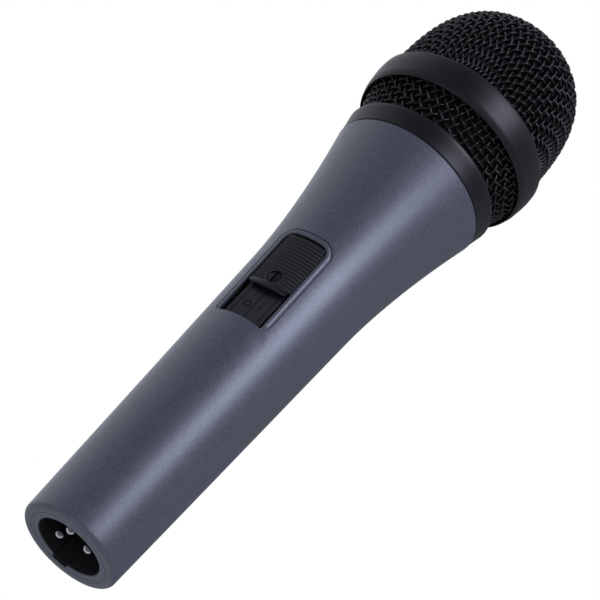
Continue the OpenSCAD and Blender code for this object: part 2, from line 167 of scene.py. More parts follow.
# ---------------------------------------------------------------- materials
class Surface:
    """A node material while it is being built. Sizes are in millimetres."""

    def __init__(self, name, **sockets):
        self.mat = bpy.data.materials.new(name)
        self.mat.use_nodes = True
        self.tree = self.mat.node_tree
        self.shader = self.tree.nodes["Principled BSDF"]
        for socket, value in sockets.items():
            self.shader.inputs[socket.replace("_", " ")].default_value = value
        self.place = self.node("ShaderNodeTexCoord").outputs["Object"]

    def node(self, kind, **settings):
        made = self.tree.nodes.new(kind)
        for key, value in settings.items():
            setattr(made, key, value)
        return made

    def put(self, socket, value):
        """Links an output to a socket, or sets the socket's own value."""
        if isinstance(value, bpy.types.NodeSocket):
            self.tree.links.new(value, socket)
        else:
            socket.default_value = value

    def stretched(self, x, y, z):
        made = self.node("ShaderNodeMapping")
        self.put(made.inputs["Vector"], self.place)
        made.inputs["Scale"].default_value = (x, y, z)
        return made.outputs["Vector"]

    def noise(self, size, detail=2.0, where=None):
        made = self.node("ShaderNodeTexNoise")
        self.put(made.inputs["Vector"], where or self.place)
        made.inputs["Scale"].default_value = 1 / (size * MM)
        made.inputs["Detail"].default_value = detail
        return made.outputs["Fac"]

    def cells(self, size):
        """A grey value that is the same within each cell."""
        made = self.node("ShaderNodeTexVoronoi")
        self.put(made.inputs["Vector"], self.place)
        made.inputs["Scale"].default_value = 1 / (size * MM)
        split = self.node("ShaderNodeSeparateColor")
        self.put(split.inputs["Color"], made.outputs["Color"])
        return split.outputs["Red"]

    def cell_edges(self, size):
        made = self.node("ShaderNodeTexVoronoi", feature="DISTANCE_TO_EDGE")
        self.put(made.inputs["Vector"], self.place)
        made.inputs["Scale"].default_value = 1 / (size * MM)
        return made.outputs["Distance"]

    def to_range(self, value, low, high, from_low=0.0, from_high=1.0):
        made = self.node("ShaderNodeMapRange")
        for socket, v in zip(("Value", "From Min", "From Max", "To Min", "To Max"),
                             (value, from_low, from_high, low, high), strict=True):
            self.put(made.inputs[socket], v)
        return made.outputs["Result"]

    def math(self, operation, a, b):
        made = self.node("ShaderNodeMath", operation=operation)
        self.put(made.inputs[0], a)
        self.put(made.inputs[1], b)
        return made.outputs[0]

    def mix(self, factor, a, b):
        made = self.node("ShaderNodeMix", data_type="RGBA")
        self.put(made.inputs["Factor"], factor)
        self.put(made.inputs[6], a)
        self.put(made.inputs[7], b)
        return made.outputs[2]

    def bump(self, height, depth, normal=None):
        made = self.node("ShaderNodeBump")
        made.inputs["Strength"].default_value = 1.0
        made.inputs["Distance"].default_value = depth * MM
        self.put(made.inputs["Height"], height)
        if normal:
            self.put(made.inputs["Normal"], normal)
        return made.outputs["Normal"]

    def finish(self, colour, roughness, normal=None):
        for socket, value in (("Base Color", colour), ("Roughness", roughness), ("Normal", normal)):
            if value is not None:
                self.put(self.shader.inputs[socket], value)
        return self.mat


def rgb(r, g, b):
    return (r, g, b, 1.0)


def black_inside_mask(s):
    """1 in the socket's bore and, from 40 mm up, everywhere under the handle's taper; 0 elsewhere."""
    split = s.node("ShaderNodeSeparateXYZ")
    s.put(split.inputs[0], s.place)
    height = split.outputs[2]
    flat = s.node("ShaderNodeCombineXYZ")
    s.put(flat.inputs[0], split.outputs[0])
    s.put(flat.inputs[1], split.outputs[1])
    length = s.node("ShaderNodeVectorMath", operation="LENGTH")
    s.put(length.inputs[0], flat.outputs[0])
    radius = length.outputs["Value"]
    within_bore = s.to_range(radius, 1.0, 0.0, 9.2 * MM, 9.4 * MM)
    past_mouth = s.to_range(height, 0.0, 1.0, 0.28 * MM, 0.42 * MM)
    below_top = s.to_range(height, 1.0, 0.0, 30 * MM, 32 * MM)
    bore = s.math("MULTIPLY", s.math("MULTIPLY", within_bore, past_mouth), below_top)
    skin = s.math("ADD", s.math("MULTIPLY", height, TAPER), (TAIL_R - 0.25) * MM)
    under_skin = s.to_range(s.math("SUBTRACT", skin, radius), 0.0, 1.0, 0.0, 0.12 * MM)
    past_tail = s.to_range(height, 0.0, 1.0, 40 * MM, 42 * MM)
    return s.math("MAXIMUM", bore, s.math("MULTIPLY", under_skin, past_tail))


def handle_paint():
    """Satin slate paint with fine metal flakes; the socket's bore and the window's walls are black."""
    s = Surface("slate_paint", Metallic=0.25, Specular_IOR_Level=0.9)
    flakes = s.cells(0.2)
    clouds = s.noise(9.0, 3.0)
    base = s.mix(clouds, rgb(0.083, 0.096, 0.127), rgb(0.090, 0.103, 0.136))
    glint = s.to_range(flakes, 0.0, 0.22, 0.5, 1.0)
    flaked = s.mix(glint, base, rgb(0.30, 0.32, 0.38))
    inside_black = black_inside_mask(s)
    # The bore and the window's walls are coloured near black.
    colour = s.mix(inside_black, flaked, rgb(0.004, 0.004, 0.006))
    grain = s.noise(0.22, 2.0)
    peel = s.noise(1.3, 2.0)
    rough = s.math("ADD", s.to_range(grain, 0.34, 0.44), s.math("MULTIPLY", inside_black, 0.2))
    normal = s.bump(peel, 0.008)
    normal = s.bump(s.math("ADD", grain, flakes), 0.012, normal)
    return s.finish(colour, rough, normal)


def satin_black(name, tone, low=0.37, high=0.49):
    """Black powder coating: fine grain, slight mottling and paler rubbed specks."""
    s = Surface(name, Specular_IOR_Level=0.38)
    mottled = s.noise(5.0, 3.0)
    grain = s.noise(0.18, 2.0)
    dark = rgb(*(v * 0.8 for v in tone))
    colour = s.mix(mottled, dark, rgb(*tone))
    speck = s.to_range(s.noise(0.5, 4.0), 0.0, 0.35, 0.66, 0.8)
    colour = s.mix(speck, colour, rgb(*(v * 2.5 for v in tone)))
    return s.finish(colour, s.to_range(grain, low, high), s.bump(grain, 0.008))


def moulded(name, tone, low=0.38, high=0.52, grain_size=0.25, depth=0.01, shine=0.5):
    """Moulded plastic or rubber with a spark-eroded grain."""
    s = Surface(name, Specular_IOR_Level=shine)
    grain = s.noise(grain_size, 3.0)
    drift = s.noise(7.0, 2.0)
    colour = s.mix(drift, rgb(*(v * 0.85 for v in tone)), rgb(*(v * 1.12 for v in tone)))
    return s.finish(colour, s.to_range(grain, low, high), s.bump(grain, depth))


def metal(name, tone, low, high, stretch=(1, 1, 1)):
    """Bare metal with turning or drawing marks, finer along the axes that stretch makes larger."""
    s = Surface(name, Metallic=1.0)
    marks = s.noise(0.3, 3.0, s.stretched(*stretch))
    stain = s.noise(3.0, 3.0)
    colour = s.mix(stain, rgb(*(v * 0.86 for v in tone)), rgb(*tone))
    return s.finish(colour, s.to_range(marks, low, high), s.bump(marks, 0.004))


def plating_with_painted_reflection(name):
    """Polished plating with a painted reflection: its colour is painted dull where it is seen straight on and
    bright where it is seen at a slant.
    """
    s = Surface(name, Metallic=1.0)
    marks = s.noise(0.3, 3.0, s.stretched(1, 1, 4))
    slant = s.node("ShaderNodeLayerWeight").outputs["Facing"]
    # Painted reflection: the colour brightens with the slant, plus a little tone from the drawing marks.
    shine = s.math("ADD", s.to_range(slant, 0.0, 0.8, 0.12, 0.42), s.to_range(marks, -0.08, 0.08, 0.3, 0.7))
    colour = s.mix(shine, rgb(0.10, 0.10, 0.105), rgb(0.97, 0.97, 0.96))
    return s.finish(colour, s.to_range(marks, 0.05, 0.12), s.bump(marks, 0.004))


def open_foam():
    """Dark open-cell foam."""
    s = Surface("liner_foam", Specular_IOR_Level=0.2)
    pores = s.cell_edges(0.55)
    colour = s.mix(s.to_range(pores, 0.0, 1.0, 0.0, 0.3), rgb(0.010, 0.010, 0.011), rgb(0.003, 0.003, 0.003))
    return s.finish(colour, s.to_range(pores, 0.95, 0.8), s.bump(pores, 0.2))


def woven_cloth():
    s = Surface("acoustic_cloth", Roughness=0.9, Sheen_Weight=0.3)
    across = s.node("ShaderNodeTexWave", bands_direction="X")
    along = s.node("ShaderNodeTexWave", bands_direction="Y")
    for wave in (across, along):
        s.put(wave.inputs["Vector"], s.place)
        wave.inputs["Scale"].default_value = 900.0
    weave = s.math("MULTIPLY", across.outputs["Fac"], along.outputs["Fac"])
    return s.finish(s.mix(weave, rgb(0.06, 0.06, 0.065), rgb(0.16, 0.16, 0.165)), 0.9, s.bump(weave, 0.03))


def circuit_board():
    s = Surface("board_lacquer", Specular_IOR_Level=0.5)
    weave = s.noise(0.4, 2.0, s.stretched(1, 1, 6))
    tracks = s.to_range(s.cell_edges(2.2), 1.0, 0.0, 0.05, 0.08)
    colour = s.mix(tracks, rgb(0.012, 0.09, 0.03), rgb(0.03, 0.17, 0.06))
    return s.finish(colour, s.to_range(weave, 0.22, 0.36), s.bump(tracks, 0.03))


MATERIALS = {
    "handle_paint": handle_paint(),
    "black_metal": satin_black("ring_black", (0.0075, 0.0073, 0.0112)),
    "mesh_wire": satin_black("wire_black", (0.006, 0.006, 0.007), 0.26, 0.38),
    "socket_plastic": moulded("socket_black", (0.003, 0.003, 0.004), 0.45, 0.6, shine=0.15),
    "switch_plastic": moulded("switch_charcoal", (0.0135, 0.0130, 0.0210), 0.27, 0.36),
    "pin_plate": plating_with_painted_reflection("plated_pin"),
    "bright_steel": metal("bright_steel", (0.60, 0.60, 0.61), 0.24, 0.4, (1, 1, 5)),
    "dark_steel": metal("dark_steel", (0.045, 0.045, 0.05), 0.3, 0.45, (5, 1, 1)),
    "spring_bronze": metal("spring_bronze", (0.62, 0.42, 0.20), 0.22, 0.38, (6, 1, 1)),
    "contact_gold": metal("contact_gold", (0.83, 0.62, 0.26), 0.14, 0.28, (1, 1, 4)),
    "wire_sleeve": moulded("lead_sleeve", (0.32, 0.02, 0.015), 0.32, 0.42, 0.6, 0.006),
    "circuit_board": circuit_board(),
    "white_plastic": moulded("white_plastic", (0.68, 0.66, 0.60), 0.35, 0.5),
    "mount_rubber": moulded("mount_rubber", (0.030, 0.030, 0.031), 0.7, 0.85, 0.4, 0.02),
    "seal_rubber": moulded("seal_rubber", (0.008, 0.008, 0.008), 0.7, 0.85, 0.4, 0.02),
    "coil_copper": metal("coil_copper", (0.66, 0.27, 0.10), 0.2, 0.35, (1, 1, 40)),
    "magnet_alloy": metal("magnet_alloy", (0.32, 0.32, 0.33), 0.35, 0.55),
    "film": moulded("film", (0.55, 0.50, 0.30), 0.12, 0.2, 1.5, 0.01),
    "cloth": woven_cloth(),
    "liner_foam": open_foam(),
}


def dress_cad_nodes():
    """Gives every CAD node its slot's material."""
    slots = {p["node"]: p["material_slot"] for p in frame["record"]["subparts"]}
    for name, obj in frame["nodes"].items():
        obj.data.materials.clear()
        obj.data.materials.append(MATERIALS[slots[name]])


dress_cad_nodes()


# ---------------------------------------------------------------- mesh making
def make_piece(name, verts, faces, body, slot, nodes=(), sharp=40.0):
    """A smooth-shaded piece from points in millimetres; edges that turn over sharp degrees stay crisp."""
    mesh = bpy.data.meshes.new(name)
    mesh.from_pydata([tuple(MM * c for c in v) for v in verts], [], faces)
    obj = bpy.data.objects.new(name, mesh)
    bpy.context.scene.collection.objects.link(obj)
    settle_mesh(obj, sharp)
    mesh.materials.append(MATERIALS[slot])
    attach(obj, body)
    if nodes:
        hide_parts(*nodes)
    return obj


def settle_mesh(obj, sharp):
    """Turns the faces outwards, shades them smooth and marks the sharp edges."""
    bm = bmesh.new()
    bm.from_mesh(obj.data)
    bmesh.ops.recalc_face_normals(bm, faces=bm.faces)
    for face in bm.faces:
        face.smooth = True
    limit = math.radians(sharp)
    for edge in bm.edges:
        edge.smooth = len(edge.link_faces) == 2 and edge.calc_face_angle(0.0) < limit
    bm.to_mesh(obj.data)
    bm.free()


def ring_faces(rings, around, first=0, closed=True):
    """Quads between rings of points; the last ring joins the first if closed."""
    faces = []
    for i in range(rings if closed else rings - 1):
        low = first + i * around
        high = first + (i + 1) % rings * around
        for k in range(around):
            k2 = (k + 1) % around
            faces.append((low + k, low + k2, high + k2, high + k))
    return faces


def lathe(profile, around):
    """Points and faces of a closed outline turned round the axis."""
    verts = []
    for r, z in profile:
        for k in range(around):
            a = 2 * math.pi * k / around
            verts.append((r * math.sin(a), -r * math.cos(a), z))
    return verts, ring_faces(len(profile), around)


def cut_with(obj, cutter_verts, cutter_faces, sharp):
    """Takes a closed shape away from a piece.

    The manifold solver comes out the same on every run. The exact one now and then added the cutter.
    """
    mesh = bpy.data.meshes.new("cutter")
    mesh.from_pydata([tuple(MM * c for c in v) for v in cutter_verts], [], cutter_faces)
    cutter = bpy.data.objects.new("cutter", mesh)
    bpy.context.scene.collection.objects.link(cutter)
    settle_mesh(cutter, sharp)
    modifier = obj.modifiers.new("cut", "BOOLEAN")
    modifier.operation = "DIFFERENCE"
    modifier.solver = "MANIFOLD"
    modifier.object = cutter
    bpy.context.view_layer.update()
    cut = bpy.data.meshes.new_from_object(obj.evaluated_get(bpy.context.evaluated_depsgraph_get()))
    obj.modifiers.clear()
    obj.data = cut
    bpy.data.objects.remove(cutter)
    settle_mesh(obj, sharp)


def bar(centre, direction, radius, length, around=48):
    """Points and faces of a round bar, for cutting holes."""
    turn = Vector(direction).to_track_quat("Z", "Y").to_matrix()
    verts = []
    for z in (0.0, length):
        for k in range(around):
            a = 2 * math.pi * k / around
            rim = Vector((radius * math.cos(a), radius * math.sin(a), z))
            verts.append(tuple(turn @ rim + Vector(centre)))
    faces = ring_faces(2, around, closed=False)
    faces += [tuple(range(around)), tuple(range(around, 2 * around))]
    return verts, faces


def block(low, high):
    """Points and faces of a box between two corners."""
    verts = [(x, y, z) for z in (low[2], high[2]) for y in (low[1], high[1]) for x in (low[0], high[0])]
    return verts, [(0, 2, 3, 1), (4, 5, 7, 6), (0, 1, 5, 4), (2, 6, 7, 3), (0, 4, 6, 2), (1, 3, 7, 5)]


# ---------------------------------------------------------------- handle
PATCH_HALF = 9.0      # half width of the patch of mesh round the switch window
PATCH_LOW = 58.0
PATCH_HIGH = 96.0
FRONT = 24            # quads across the patch
SIDE = 38             # quads along it, 1 mm each
BACK = 120            # quads round the rest of the handle
AROUND = FRONT + BACK
SIDE_CORNER = 8       # quads from a side of the window to the middle of a head-end corner
HEAD_CORNER = 4       # quads from there to the window's head end
LATCH_BETA = 209.5    # middle of the latch groove, in degrees round from the switch
LATCH_HALF = 12.5


def in_groove(beta):
    """1 in the latch groove, 0 past its edges."""
    degrees = math.degrees(beta) % 360
    return 1.0 - smoothstep(abs(degrees - LATCH_BETA), LATCH_HALF - 1.2, LATCH_HALF + 1.2)


def thread(beta, z):
    """How far the neck's surface drops: a helix of 1 mm pitch with rounded crests."""
    phase = (z - beta / (2 * math.pi)) % 1.0
    ends = smoothstep(z, HANDLE_L + 0.2, HANDLE_L + 1.0) * (1 - smoothstep(z, NECK_TOP - 1.0, NECK_TOP - 0.2))
    return -THREAD_DEPTH * ends * abs(2 * phase - 1) ** 1.4


def handle_ring(r, z, kind):
    """One ring of points: across the switch side first, then round the back.

    Behind the patch the inside's points have the same x as the patch's own, and elsewhere they fan out.
    """
    parallel = 0.0
    if kind == "inside":
        parallel = smoothstep(z, 46, PATCH_LOW) * (1 - smoothstep(z, PATCH_HIGH, 106))
    scale = parallel + (1 - parallel) * r / handle_r(min(z, HANDLE_L))
    across = [math.asin(PATCH_HALF * (2 * k / FRONT - 1) * scale / r) for k in range(FRONT + 1)]
    edge = across[-1]
    betas = across + [edge + (2 * math.pi - 2 * edge) * k / BACK for k in range(1, BACK)]
    points = []
    for beta in betas:
        here = r
        if kind == "bore":
            here += 0.7 * in_groove(beta)
        if kind == "thread":
            here += thread(beta % (2 * math.pi), z)
        points.append((here * math.sin(beta), -here * math.cos(beta), z))
    return points


def inside_r(z):
    return min(handle_r(z) - WALL, NECK_BORE_R)


def handle_stations():
    """The handle's outline as (radius, height, kind), once round from the top of the bore."""
    window_rows = [PATCH_LOW + i for i in range(SIDE + 1)]
    bore = [(BORE_R, z, "bore") for z in (BORE_TOP, 20, 15, 14, 10, 5, 2, 1.0, 0.7)]
    mouth = [(BORE_R + r, 0.66 - z, "bore") for r, z in arc(BORE_MOUTH_R, 0.0, BORE_MOUTH_R, 180, 90, 5)]
    face = [(8.85, 0.19, "plain"), (9.5, 0.19, "plain"), (9.58, 0.17, "plain"), (9.70, 0.03, "plain"),
            (9.78, 0.0, "plain"), (10.06, 0.0, "plain"), (10.1, 0.03, "plain"), (10.16, 0.13, "plain"),
            (10.3, 0.13, "plain"), (10.36, 0.03, "plain"), (10.4, 0.0, "plain")]
    rim_centre = handle_r(RIM_R) - RIM_R
    rim = [(r, z, "plain") for r, z in arc(rim_centre, RIM_R, RIM_R, -90, 0, 12)]
    low = [(handle_r(z), z, "plain") for z in (3.5, 6, 10, 15, 20, 25, 30, 35, 40, 45, 50, 54)]
    middle = [(handle_r(z), z, "plain") for z in window_rows]
    high = [(handle_r(z), z, "plain") for z in np.arange(98, 125, 1.5)]
    top_r = handle_r(HANDLE_L)
    shoulder = [(top_r - 0.06, HANDLE_L - 0.3, "plain"), (top_r - 0.09, HANDLE_L - 0.25, "plain"),
                (top_r - 0.31, HANDLE_L - 0.03, "plain"), (top_r - 0.38, HANDLE_L, "plain")]
    shoulder += [(19.0, HANDLE_L, "plain"), (NECK_R + 0.3, HANDLE_L, "plain")]
    neck = [(NECK_R, float(z), "thread") for z in np.linspace(HANDLE_L + 0.05, NECK_TOP - 0.2, 36)]
    top = [(NECK_R - 0.25, NECK_TOP, "plain"), (NECK_BORE_R + 0.2, NECK_TOP, "plain"),
           (NECK_BORE_R, NECK_TOP - 0.2, "plain")]
    inside = [(inside_r(z), z, "inside") for z in (128, 120, 111, 108, 104, 100, 98)]
    inside += [(inside_r(z), z, "inside") for z in reversed(window_rows)]
    inside += [(inside_r(z), z, "inside") for z in (54, 50, 46, 40, 33, BORE_TOP)]
    return bore + mouth + face + rim + low + middle + high + shoulder + neck + top + inside


def window_loop():
    """(x, z, outward x, outward z) round the window, one for each point of the patch's edge."""
    half = WINDOW_W / 2
    corner_z = WINDOW_Z + WINDOW_L - WINDOW_CORNER
    straight = SIDE - SIDE_CORNER
    right = []
    for k in range(SIDE):
        if k <= straight:
            z = WINDOW_Z + (corner_z - WINDOW_Z) * (k / straight) ** 1.6
            right.append((half, z, 1.0, -1.0 if k == 0 else 0.0))
        else:
            a = math.radians(45 * (k - straight) / SIDE_CORNER)
            right.append((half - WINDOW_CORNER * (1 - math.cos(a)), corner_z + WINDOW_CORNER * math.sin(a),
                          math.cos(a), math.sin(a)))
    top_right = []
    for k in range(FRONT // 2 + 1):
        if k <= HEAD_CORNER:
            a = math.radians(45 + 45 * k / HEAD_CORNER)
            top_right.append((half - WINDOW_CORNER * (1 - math.cos(a)),
                              corner_z + WINDOW_CORNER * math.sin(a), math.cos(a), math.sin(a)))
        else:
            x = (half - WINDOW_CORNER) * (1 - (k - HEAD_CORNER) / (FRONT / 2 - HEAD_CORNER))
            top_right.append((x, WINDOW_Z + WINDOW_L, 0.0, 1.0))
    bottom = [(-half + 2 * half * k / FRONT, WINDOW_Z, -1.0 if k == 0 else 0.0, -1.0) for k in range(FRONT)]
    mirrored = [(-x, z, -nx, nz) for x, z, nx, nz in right + top_right[:-1]]
    left = mirrored[1:][::-1]
    return bottom + right + top_right + left


def frame_height(distance, z):
    """The raised frame's section: an inner edge, a flat crest, and a fine groove outside it.

    Both curve in to the window's corners at its tail end.
    """
    spread = math.hypot(distance, max(WINDOW_Z + FRAME_TURN - z, 0.0))
    crest = 0.22 * smoothstep(distance, -0.1, 0.3) * (1 - smoothstep(spread, 0.75, 1.12))
    groove = 0.26 * smoothstep(spread, 1.08, 1.24) * (1 - smoothstep(spread, 1.34, 1.5))
    return crest - groove * smoothstep(distance, 0.0, 0.3)


def on_handle(x, z, rise, r=None):
    """A point on the switch side of the handle, or of a cylinder of radius r."""
    radius = (handle_r(z) if r is None else r) + rise
    return (x, -math.sqrt(radius * radius - x * x), z)


def make_handle():
    stations = handle_stations()
    verts = [p for r, z, kind in stations for p in handle_ring(r, z, kind)]
    outer = next(i for i, s in enumerate(stations) if s[1] == PATCH_LOW and s[2] == "plain")
    inner = next(i for i, s in enumerate(stations) if s[1] == PATCH_LOW and s[2] == "inside")
    faces = []
    for face in ring_faces(len(stations), AROUND):
        row, column = divmod(face[0], AROUND)
        in_outer = outer <= row < outer + SIDE
        in_inner = inner - SIDE <= row < inner
        if column < FRONT and (in_outer or in_inner):
            continue
        faces.append(face)

    def patch_edge(row_of):
        """Vertex numbers round the patch, from its lower left corner, where row_of gives a row's number."""
        def at(step, column):
            return row_of(step) * AROUND + column

        return ([at(0, k) for k in range(FRONT)] + [at(k, FRONT) for k in range(SIDE)]
                + [at(SIDE, k) for k in range(FRONT, 0, -1)] + [at(k, 0) for k in range(SIDE, 0, -1)])

    outline = window_loop()
    count = len(outline)

    def add_loop(points):
        start = len(verts)
        verts.extend(points)
        return list(range(start, start + count))

    def join(a, b):
        faces.extend((a[k], a[(k + 1) % count], b[(k + 1) % count], b[k]) for k in range(count))

    outer_edge = patch_edge(lambda step: outer + step)
    inner_edge = patch_edge(lambda step: inner - step)
    distances = [0.0, 0.07, 0.16, 0.3, 0.55, 0.8, 0.9, 1.0, 1.08, 1.16, 1.24, 1.34, 1.42, 1.5, 1.56, 1.8, 2.2]
    loops = []
    for d in distances:
        loops.append([on_handle(x + nx * d, z + nz * d, frame_height(d, z + nz * d))
                      for x, z, nx, nz in outline])
    last = distances[-1]
    for t in (0.25, 0.5, 0.75):
        blended = []
        for (x, z, nx, nz), vertex in zip(outline, outer_edge, strict=True):
            ex, _, ez = verts[vertex]
            px, pz = x + nx * last, z + nz * last
            blended.append(on_handle(px + (ex - px) * t, pz + (ez - pz) * t, 0.0))
        loops.append(blended)
    numbers = [add_loop(points) for points in loops]
    for a, b in zip(numbers, numbers[1:] + [outer_edge], strict=True):
        join(a, b)
    previous = numbers[0]
    for depth in (0.12, 0.5, 1.2, WALL):
        wall = [on_handle(x, z, -depth) if depth < WALL else on_handle(x, z, 0.0, inside_r(z))
                for x, z, _, _ in outline]
        wall = add_loop(wall)
        join(wall, previous)
        previous = wall
    for t in (0.33, 0.67):
        loop = []
        for (x, z, _, _), vertex in zip(outline, inner_edge, strict=True):
            ex, _, ez = verts[vertex]
            pz = z + (ez - z) * t
            loop.append(on_handle(x + (ex - x) * t, pz, 0.0, inside_r(pz)))
        loop = add_loop(loop)
        join(loop, previous)
        previous = loop
    join(inner_edge, previous)
    handle = make_piece("handle", verts, faces, "handle", "handle_paint", ["handle_shell"], 32.0)
    cut_with(handle, *bar((-10.0, 0, SCREW_HOLE_Z), (-1, 0, 0), SCREW_HOLE_R, 6.0), sharp=32.0)


make_handle()


# ---------------------------------------------------------------- switch
def window_half(z, play):
    """Half width of the window at a height, less some play."""
    corner_z = WINDOW_Z + WINDOW_L - WINDOW_CORNER
    half = WINDOW_W / 2 - play
    r = WINDOW_CORNER - play
    if z <= corner_z:
        return half
    return half - r + math.sqrt(max(0.0, r * r - (z - corner_z) ** 2))


def rounded(distance, r):
    """How far a face has dropped at a distance from its edge, where the edge has radius r."""
    inward = min(r, max(0.0, r - distance))
    return r - math.sqrt(r * r - inward * inward)


def make_slider():
    """The ribbed cap and its skirt, hollowed under the lip at its tail end."""
    play = 0.25
    pitch = (SLIDER_L - 1.6) / GROOVES
    first = SLIDER_Z + 1.2
    ribbed = [first + pitch * k / 8 for k in range(GROOVES * 8 + 1)]
    rows = [SLIDER_Z + v for v in (0.0, 0.05, 0.13, 0.24, 0.38, 0.55, 0.8, 1.0)] + ribbed
    rows += [SLIDER_TOP - v for v in (0.32, 0.24, 0.15, 0.07, 0.02, 0.0)]
    half_steps = [0.0, 0.12, 0.24, 0.36, 0.48, 0.6, 0.7, 0.8, 0.88, 0.93, 0.965, 0.985, 1.0]
    columns = [-v for v in half_steps[:0:-1]] + half_steps

    def top(u, z):
        half = window_half(z, play)
        x = u * half
        groove = 0.5 - 0.5 * math.cos(2 * math.pi * (z - first) / pitch)
        groove = GROOVE_DEPTH * groove ** 0.8 if first < z < ribbed[-1] else 0.0
        from_screw = math.hypot(x, z - LOCK_Z)
        groove *= smoothstep(from_screw, 1.8, 2.05)
        drop = rounded(half - abs(x), 0.35)
        low = rounded(z - SLIDER_Z, 0.5)
        head = rounded(SLIDER_TOP - z, 0.3)
        return on_handle(x, z, -groove - 0.8 * drop - low - head)

    verts = [top(u, z) for z in rows for u in columns]
    wide = len(columns)
    faces = [(r * wide + c, r * wide + c + 1, (r + 1) * wide + c + 1, (r + 1) * wide + c)
             for r in range(len(rows) - 1) for c in range(wide - 1)]
    border = ([c for c in range(wide)] + [r * wide + wide - 1 for r in range(1, len(rows))]
              + [(len(rows) - 1) * wide + c for c in range(wide - 2, -1, -1)]
              + [r * wide for r in range(len(rows) - 2, 0, -1)])
    skirt = list(range(len(verts), len(verts) + len(border)))
    verts += [(verts[i][0], -SLIDER_UNDER, verts[i][2]) for i in border]
    count = len(border)
    faces += [(border[k], border[(k + 1) % count], skirt[(k + 1) % count], skirt[k]) for k in range(count)]
    faces.append(tuple(skirt))
    slider = make_piece("slider_cap", verts, faces, "slider", "switch_plastic", ["switch_slider"], 38.0)
    cut_with(slider, *bar((0, -SLIDER_UNDER + 2.0, LOCK_Z), (0, -1, 0), LOCK_R + 0.2, 5.0), sharp=38.0)
    cut_with(slider, *block((-7.0, -13.4, SLIDER_Z - 1.0), (7.0, -12.0, SLIDER_Z + 1.3)), sharp=38.0)


def make_slider_legs():
    """The two legs that run in the side channels, deeper where they carry the carriage."""
    top, bottom, deepest = -SLIDER_UNDER - 0.3, -11.1, -9.6
    low, carry_low, carry_high, high = SLIDER_Z + 1.6, SLIDER_Z + 5.5, SLIDER_Z + 11.5, SLIDER_TOP - 2.7
    outline = [(top, low), (bottom, low), (bottom, carry_low), (deepest, carry_low),
               (deepest, carry_high), (bottom, carry_high), (bottom, high), (top, high)]
    for name, side in (("slider_leg_left", -1), ("slider_leg_right", 1)):
        inner, outer = sorted((side * LEG_IN, side * LEG_OUT))
        count = len(outline)
        verts = [(x, y, z) for x in (inner, outer) for y, z in outline]
        faces = ring_faces(2, count, closed=False) + [tuple(range(count)), tuple(range(count, 2 * count))]
        make_piece(name, verts, faces, "slider", "switch_plastic")


def make_lock_screw():
    """A slotted fillister head on a short shank, set below the slider's face."""
    outline = [(0.02, 13.0), (0.9, 13.0), (0.9, 13.55), (LOCK_R, 13.55), (LOCK_R, 14.05)]
    outline += arc(LOCK_R - 0.14, 14.05, 0.14, 0, 70, 4)
    outline += [(1.0, 14.235), (0.5, 14.26), (0.02, 14.27)]
    verts, faces = lathe(outline, 64)
    verts = [(x, -z, y + LOCK_Z) for x, y, z in verts]
    screw = make_piece("lock_screw_head", verts, faces, "lock", "dark_steel", ["lock_screw"], 30.0)
    cut_with(screw, *block((-0.25, -15.0, LOCK_Z - 2.0), (0.25, -13.7, LOCK_Z + 2.0)), sharp=30.0)


make_slider()
make_slider_legs()
make_lock_screw()


# ---------------------------------------------------------------- contacts
def make_pins():
    """The three contacts: rounded nose, plain shaft, thicker root and a solder cup behind it."""
    for number, (x, y) in enumerate(((-PIN_CIRCLE_R, 0.0), (PIN_CIRCLE_R, 0.0), (0.0, -PIN_CIRCLE_R)), 1):
        outline = [(0.02, PIN_TIP)]
        outline += arc(PIN_R - PIN_NOSE_R, PIN_TIP + PIN_NOSE_R, PIN_NOSE_R, -85, 0, 10)
        outline += [(PIN_R, 5.0), (PIN_R, 10.0), (PIN_R, INSERT_ROOT_Z - 0.05)]
        outline += [(PIN_ROOT_R, INSERT_ROOT_Z), (PIN_ROOT_R, 26.0), (CUP_R, 26.0), (CUP_R, 28.0)]
        outline += [(CUP_HOLE_R, 28.0), (CUP_HOLE_R, 26.6), (0.02, 26.6)]
        verts, faces = lathe(outline, 48)
        verts = [(px + x, py + y, pz) for px, py, pz in verts]
        make_piece(f"contact_{number}", verts, faces, "handle", "pin_plate", [f"contact_pin_{number}"], 35.0)


make_pins()


# ---------------------------------------------------------------- head
def make_collar():
    """The flared ring at the foot of the head, with a channel in its top for the band's wires."""
    outline = [(17.58, 125.95), (20.04, 125.95), (20.06, 125.72)] + arc(20.18, 125.82, 0.1, -80, -12, 3)
    outline += [(20.33, 126.2), (20.46, 127.2), (20.68, 128.4), (20.95, 129.8), (21.14, 130.75)]
    outline += [(21.1, 130.85), (20.74, 131.22), (20.66, 131.28), (20.55, 131.3), (20.45, 131.2)]
    outline += [(20.45, 129.5), (19.35, 129.5), (19.35, 131.2)]
    outline += [(19.25, 131.3), (17.9, 131.3), (17.58, 131.1)]
    verts, faces = lathe(outline, 256)
    make_piece("collar", verts, faces, "head", "black_metal", ["collar_ring"], 42.0)


def make_centre_ring():
    """The ring between band and dome: a lower chamfer, a bulged face, and a rib inside."""
    outline = [(22.76, 0.3), (22.8, -0.72), (22.86, -0.84), (22.98, -0.86), (23.08, -0.78)]
    outline += [(23.47, 0.5), (23.53, 0.68), (23.58, 0.9), (23.66, 1.6)]
    outline += [(23.78, 2.6), (23.89, 3.5), (23.97, 4.3)]
    outline += [(24.0, 5.0), (23.99, 5.8), (23.96, 6.5), (23.93, 6.98), (23.88, 7.1), (23.48, 7.48)]
    outline += [(23.4, 7.52), (22.95, 7.49), (22.76, 7.2)]
    outline += [(22.76, 2.7), (21.4, 2.7), (21.4, 1.7), (22.76, 1.7)]
    outline = [(r, RING_Z + z) for r, z in outline]
    verts, faces = lathe(outline, 256)
    make_piece("centre_band", verts, faces, "head", "black_metal", ["centre_ring"], 42.0)


